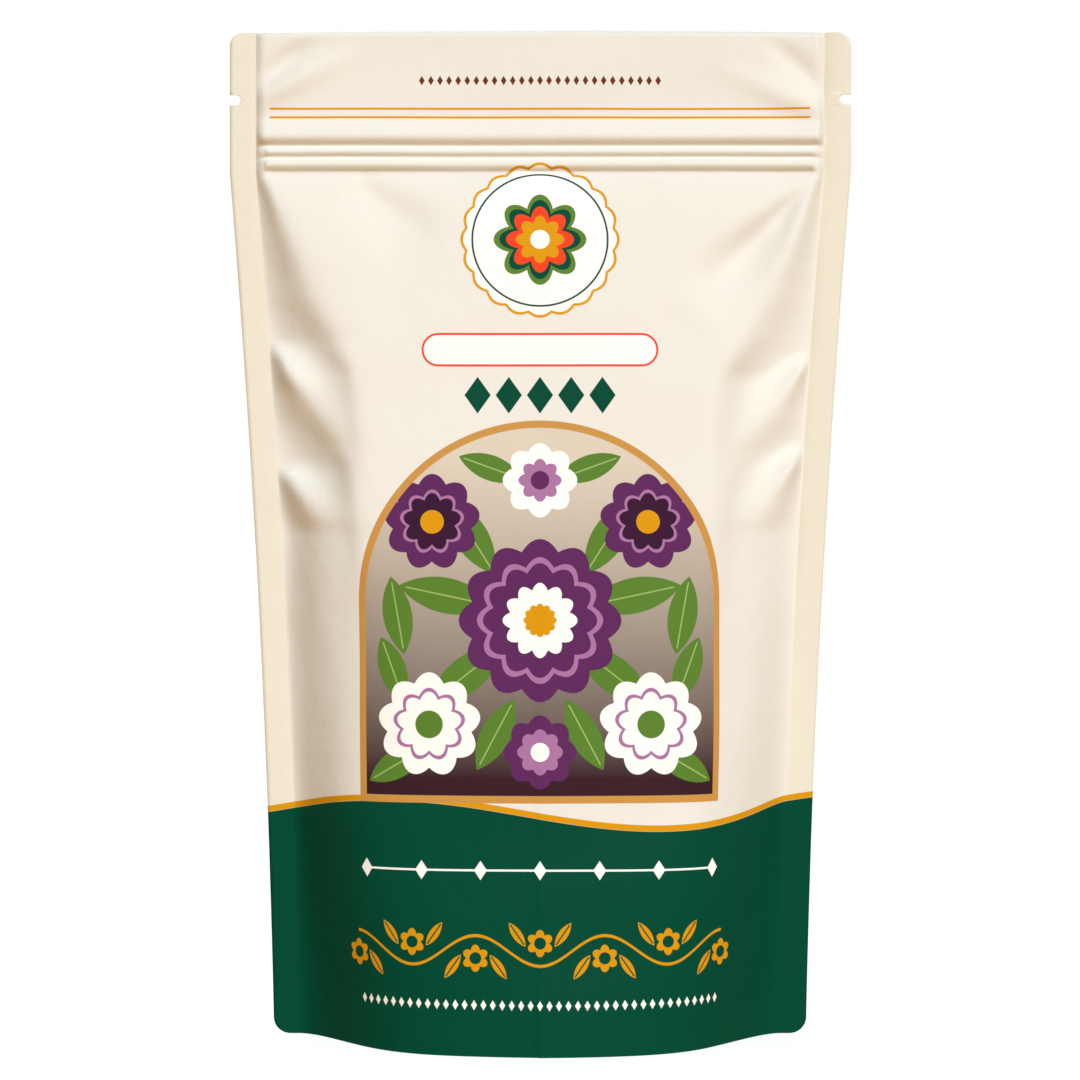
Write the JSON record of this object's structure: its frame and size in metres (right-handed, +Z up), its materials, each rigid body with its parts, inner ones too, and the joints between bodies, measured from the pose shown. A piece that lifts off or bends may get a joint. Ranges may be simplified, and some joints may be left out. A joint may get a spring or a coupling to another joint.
{
  "type": "stand-up seed pouch",
  "caption": "Filled stand-up seed pouch of printed film, with flat side seals, a tear-off header with notches, a press-to-close zip and an opened bottom gusset.",
  "frame": {"origin": "on the table, midway between the side seals and in their plane", "axes": "+Z up, the front panel faces -Y, +X to the right seen from the front"},
  "size_m": [0.13, 0.0533, 0.21],
  "materials": {
    "printed_film": "matte-satin printed laminate",
    "base_film": "matte-satin printed laminate",
    "zip_plastic": "natural polyethylene",
    "seed_coat": "dry seed coat"
  },
  "bodies": {
    "root": {"front_panel": "printed_film", "back_panel": "printed_film", "bottom_gusset": "base_film", "zip_rib_strip": "zip_plastic", "zip_jaw_strip": "zip_plastic", "seed_fill": "seed_coat"}
  },
  "joints": []
}
